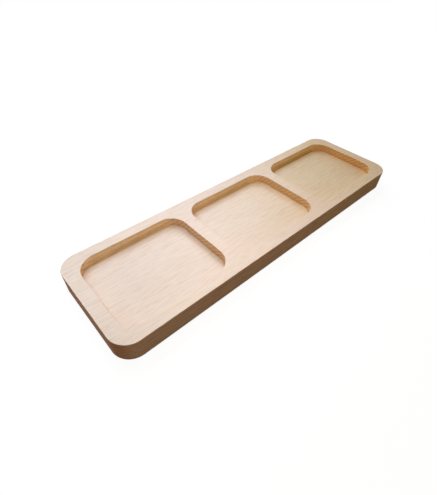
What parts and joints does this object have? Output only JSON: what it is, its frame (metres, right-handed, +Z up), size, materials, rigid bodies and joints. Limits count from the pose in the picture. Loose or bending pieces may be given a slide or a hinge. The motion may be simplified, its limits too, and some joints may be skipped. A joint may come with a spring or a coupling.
{
  "type": "divided serving tray",
  "caption": "Long solid wood serving board with rounded corners and a row of shallow rounded pockets that keep foods apart.",
  "frame": {"origin": "centre of the flat base, on the surface that the tray stands on", "axes": "+X along the tray towards its far end, +Y across it towards the back rim, +Z up"},
  "size_m": [0.35, 0.102, 0.02],
  "materials": {
    "beech": "fine-sanded pale beech, straight grain along the tray",
    "glue": "dried wood glue, a hairline between two staves"
  },
  "bodies": {
    "root": {"stave_front": "beech", "stave_middle": "beech", "stave_back": "beech", "glue_line_front": "glue", "glue_line_back": "glue"}
  },
  "joints": []
}
